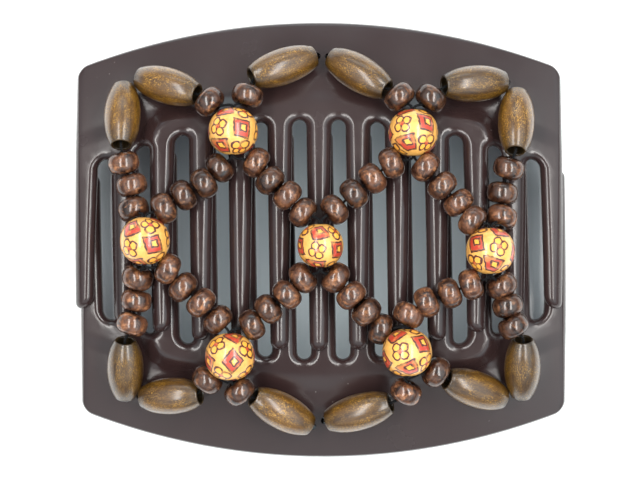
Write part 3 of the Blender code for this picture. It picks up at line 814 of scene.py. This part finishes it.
def cord(bm, points, radius):
    """A round cord, bent smoothly through points and closed at both ends."""
    bends = []
    for i in range(len(points) - 1):
        a, b = points[i], points[i + 1]
        into = (b - points[max(i - 1, 0)]) / 2
        out = (points[min(i + 2, len(points) - 1)] - a) / 2
        for k in range(CORD_STEPS):
            u = k / CORD_STEPS
            bends.append(
                a * (2 * u**3 - 3 * u**2 + 1) + into * (u**3 - 2 * u**2 + u)
                + b * (3 * u**2 - 2 * u**3) + out * (u**3 - u**2)
            )
    bends.append(points[-1])
    rings = []
    turn = (bends[1] - bends[0]).to_track_quat("Z", "Y")
    for i, point in enumerate(bends):
        course = bends[min(i + 1, len(bends) - 1)] - bends[max(i - 1, 0)]
        turn = (turn @ Vector((0, 0, 1))).rotation_difference(course) @ turn
        ring = []
        for k in range(CORD_SIDES):
            angle = 2 * math.pi * k / CORD_SIDES
            rim = turn @ Vector((math.cos(angle), math.sin(angle), 0))
            ring.append(bm.verts.new((point + rim * radius) * MM))
        rings.append(ring)
    for low, high in zip(rings, rings[1:]):
        for k in range(CORD_SIDES):
            bm.faces.new((low[k - 1], low[k], high[k], high[k - 1])).smooth = True
    bm.faces.new(rings[0][::-1])
    bm.faces.new(rings[-1])


def into_print(start):
    """The way from a bead into the nearest printed bead: past its bore's rim, then inside."""
    centre = min(PRINT_MIDDLES.values(), key=lambda middle: (middle - start).length)
    up = 1 if start.y > centre.y else -1
    beside = BORE_BESIDE if start.x > centre.x else -BORE_BESIDE
    return [centre + Vector((beside, up * (PRINT_RADIUS + out), 0)) for out in BORE_PLACES]


def far_end(start):
    """The nearest oval bead's outer end, as a way into its bore."""
    ends = []
    for (middle, along), length in zip(OVALS, OVAL_LENGTHS):
        ahead = middle - along * (length / 2 + MOUTH_AHEAD)
        inside = middle - along * (length / 2 - MOUTH_INSIDE)
        ends.append((ahead, inside))
    return list(min(ends, key=lambda pair: (pair[0] - start).length))


black_elastic = bpy.data.materials.new("black_elastic")
black_elastic.use_nodes = True
tree = black_elastic.node_tree
shader = tree.nodes["Principled BSDF"]
where = add_node(tree, "ShaderNodeTexCoord").outputs["Object"]
weave = add_node(
    tree, "ShaderNodeTexWave", {"wave_type": "BANDS", "bands_direction": "DIAGONAL"},
    Vector=where, Scale=900.0, Distortion=1.5,
)
threads = mix_colour(tree, weave.outputs["Fac"], (0.003, 0.003, 0.0035), (0.012, 0.012, 0.013))
tree.links.new(threads, shader.inputs["Base Color"])
shader.inputs["Roughness"].default_value = 0.85
shader.inputs["Specular IOR Level"].default_value = 0.1
bump = add_node(tree, "ShaderNodeBump", None, Height=weave.outputs["Fac"], Strength=0.5, Distance=0.0002)
tree.links.new(bump.outputs["Normal"], shader.inputs["Normal"])

for name, (first, last, plan) in STRANDS.items():
    middles = [Vector((x, y, rest_height(x, y, RONDELLE_REST))) for x, y in plan]
    entry = into_print(middles[0]) if first else far_end(middles[0])
    leaving = into_print(middles[-1]) if last else far_end(middles[-1])
    way = [entry[0], *middles, leaving[0]]
    bm = bmesh.new()
    for i, middle in enumerate(middles, 1):
        along = (way[i + 1] - middle).normalized() + (middle - way[i - 1]).normalized()
        along.z *= BORE_LEVELLING
        sway = Vector([chance.uniform(-SWAY, SWAY) for _ in range(3)])
        grown = chance.uniform(0.97, 1.0)
        section = rondelle_section(RONDELLE_LENGTH * grown, RONDELLE_RADIUS * grown, RONDELLE_BORE)
        place = bead_place(middle, along + sway)
        pattern = scattered() @ CLOUDED
        lathe(bm, section, RONDELLE_SIDES, place, pattern, chance.uniform(0, 0.6))
    beads_done = len(bm.faces)
    cord(bm, [entry[1], *way, leaving[1]], ELASTIC_RADIUS)
    bm.faces.ensure_lookup_table()
    for face in bm.faces[beads_done:]:
        face.material_index = 1
    strand = bead_object(f"beads_{name}", bm, dark_wood)
    strand.data.materials.append(black_elastic)
    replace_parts(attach(strand, "root"), f"strand_{name}")

# Elastic loops
# Six loops of black elastic. Each is threaded through two oval beads and the spacers beyond them, goes
# down through the pair of small holes between the two, and is knotted flat under the comb.

KNOT_RADIUS = 0.42
KNOT_DROP = 0.35
KNOT_STEPS = 24
OVAL_ENTRY, OVAL_EXIT = 1.6, 0.5  # how far inside an oval bead's ends its cord straightens
SPACER_ENTRY = 1.5
SPACER_NEAR = 6
LEG_HEIGHTS = (MOULD_THICK + 0.9, MOULD_THICK / 2, -0.5)  # above the comb, within it and below
LOOPS = {
    "top_left": (0, 1), "top_centre": (2, 3), "top_right": (4, 5),
    "bottom_left": (6, 7), "bottom_centre": (8, 9), "bottom_right": (10, 11),
}


def loop_run(number):
    """From a printed bead or a strand through an oval bead and down to below its hole."""
    middle, along = OVALS[number]
    half = OVAL_LENGTHS[number] / 2
    spacer = min(SPACERS, key=lambda other: (other[0] - (middle - along * half)).length)
    run = [middle - along * (half - OVAL_ENTRY), middle, middle + along * (half - OVAL_EXIT)]
    if (spacer[0] - (middle - along * half)).length < SPACER_NEAR:
        spot, axis = spacer
        if axis.dot(middle - spot) < 0:
            axis = -axis
        mouth, inside = into_print(spot)
        run = [inside, mouth, spot - axis * SPACER_ENTRY, spot + axis * SPACER_ENTRY] + run
    leg = middle + along * (half + LEG_REACH)
    side = 1 if leg.y > 0 else -1
    own_x = side * leg.x + COMB_OFFSET
    under = under_height(leg.x, leg.y, SPINE_Y - side * leg.y - spine_drop(own_x), side)
    return run + [Vector((leg.x, leg.y, under + height)) for height in LEG_HEIGHTS]


for name, (left, right) in LOOPS.items():
    left_run, right_run = loop_run(left), loop_run(right)
    knot = (left_run[-1] + right_run[-1]) / 2 - Vector((0, 0, KNOT_DROP))
    bm = bmesh.new()
    cord(bm, left_run + [knot] + right_run[::-1], ELASTIC_RADIUS)
    turns = []
    for i in range(KNOT_STEPS + 1):
        angle = 2 * math.pi * i / KNOT_STEPS
        twist = Vector((
            math.sin(angle) + 2 * math.sin(2 * angle),
            math.cos(angle) - 2 * math.cos(2 * angle),
            -math.sin(3 * angle),
        ))
        turns.append(knot + KNOT_RADIUS * twist)
    cord(bm, turns, ELASTIC_RADIUS)
    loop = bead_object(f"loop_{name}", bm, black_elastic)
    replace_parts(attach(loop, "root"), f"elastic_{name}")

# Stage, light and camera
# The comb is seen from straight above on a plain white table, in a light tent with two long narrow
# lamps. Under the comb the table has a faint painted glow, emission standing in for light on the floor
# between the teeth.

PAINTED_GLOW_RADIUS = 0.06
bpy.ops.mesh.primitive_plane_add(size=4.0, location=(0, 0, -0.0003))
table = bpy.context.object
table.name = "table"
table_white = bpy.data.materials.new("table_white")
table_white.use_nodes = True
tree = table_white.node_tree
shader = tree.nodes["Principled BSDF"]
shader.inputs["Base Color"].default_value = (0.9, 0.9, 0.9, 1)
shader.inputs["Roughness"].default_value = 0.8
place = add_node(tree, "ShaderNodeTexCoord").outputs["Object"]
beside = add_node(
    tree, "ShaderNodeVectorMath", {"operation": "SUBTRACT"}, s0=place, s1=(0.003, -0.011, 0.0)
).outputs[0]
reach = add_node(tree, "ShaderNodeVectorMath", {"operation": "LENGTH"}, s0=beside).outputs["Value"]
# Painted glow: emission round the comb's middle, brightest at the centre and fading out by the edge of its
# reach
glow = ramp(tree, maths(tree, "DIVIDE", reach, PAINTED_GLOW_RADIUS), [
    (0.0, (0.26, 0.3, 0.31)),
    (0.4, (0.12, 0.145, 0.155)),
    (0.85, (0.02, 0.025, 0.03)),
    (1.0, (0.0, 0.0, 0.0)),
])
tree.links.new(glow, shader.inputs["Emission Color"])
shader.inputs["Emission Strength"].default_value = 1.0
table.data.materials.append(table_white)

world = bpy.data.worlds.new("light_tent")
bpy.context.scene.world = world
world.use_nodes = True
tree = world.node_tree
direction = add_node(tree, "ShaderNodeTexCoord").outputs["Generated"]
sky = add_node(tree, "ShaderNodeSeparateXYZ", None, s0=direction)
tent = ramp(tree, sky.outputs[2], [
    (0.05, (0.95, 0.97, 1.0)),
    (0.12, (0.18, 0.19, 0.2)),
    (0.3, (0.3, 0.33, 0.35)),
    (0.62, (0.88, 0.95, 1.0)),
    (0.78, (1.0, 1.0, 1.0)),
    (0.87, (0.38, 0.43, 0.46)),
    (0.985, (0.05, 0.06, 0.07)),
])
tree.links.new(tent, tree.nodes["Background"].inputs["Color"])
tree.nodes["Background"].inputs["Strength"].default_value = 0.78


def tent_panel(across, start, end, strength):
    """A brighter panel of the tent's cloth, coming up from nothing between two places across it."""
    fade = add_node(tree, "ShaderNodeMapRange", None, s0=across, s1=start, s2=end, s3=0.0, s4=strength)
    return fade.outputs[0]


side_panels = maths(
    tree, "ADD", tent_panel(sky.outputs[0], 0.3, 0.55, 1.5), tent_panel(sky.outputs[0], -0.3, -0.55, 0.5)
)
low_panels = maths(tree, "ADD", side_panels, tent_panel(sky.outputs[1], -0.45, -0.75, 0.9))
low_panels = maths(tree, "MULTIPLY", low_panels, tent_panel(sky.outputs[2], 0.25, 0.55, 1.0))
back_panel = tent_panel(sky.outputs[1], 0.8, 0.88, 3.0)
back_height = tent_panel(sky.outputs[2], 0.2, 0.34, 1.0)
glow = maths(tree, "MULTIPLY_ADD", back_panel, back_height, low_panels)
panels = add_node(tree, "ShaderNodeBackground", None, Color=(0.78, 0.95, 1.0, 1.0), Strength=glow)
tent_light = tree.nodes["Background"].outputs[0]
both = add_node(tree, "ShaderNodeAddShader", None, s0=tent_light, s1=panels.outputs[0])
tree.links.new(both.outputs[0], tree.nodes["World Output"].inputs["Surface"])

LAMP_WIDE, LAMP_LONG = 0.15, 1.0
LAMP_APART, LAMP_BACK, LAMP_HEIGHT = 0.32, 0.1, 0.8
LAMP_ENERGY = 8.2
for name, across in (("lamp_left", -1), ("lamp_right", 1)):
    lamp = bpy.data.lights.new(name, "AREA")
    lamp.shape = "RECTANGLE"
    lamp.size, lamp.size_y = LAMP_WIDE, LAMP_LONG
    lamp.energy = LAMP_ENERGY
    lamp.color = (1.0, 0.98, 0.95)
    holder = bpy.data.objects.new(name, lamp)
    bpy.context.collection.objects.link(holder)
    holder.location = (across * LAMP_APART, LAMP_BACK, LAMP_HEIGHT)
    holder.rotation_euler = (0, math.atan2(across * LAMP_APART, LAMP_HEIGHT), 0)

CAMERA_HEIGHT = 0.600
VIEW_WIDTH = 0.1536  # what the picture takes in at the height of the comb's edges
EDGE_HEIGHT = 3.0
SENSOR_WIDTH = 36
camera_data = bpy.data.cameras.new("camera")
camera_data.sensor_width = SENSOR_WIDTH
camera_data.lens = SENSOR_WIDTH * (CAMERA_HEIGHT - EDGE_HEIGHT * MM) / VIEW_WIDTH
camera = bpy.data.objects.new("camera", camera_data)
bpy.context.collection.objects.link(camera)
camera.location = (-0.3 * MM, -0.1 * MM, CAMERA_HEIGHT)
bpy.context.scene.camera = camera
bpy.context.scene.view_settings.view_transform = "Standard"
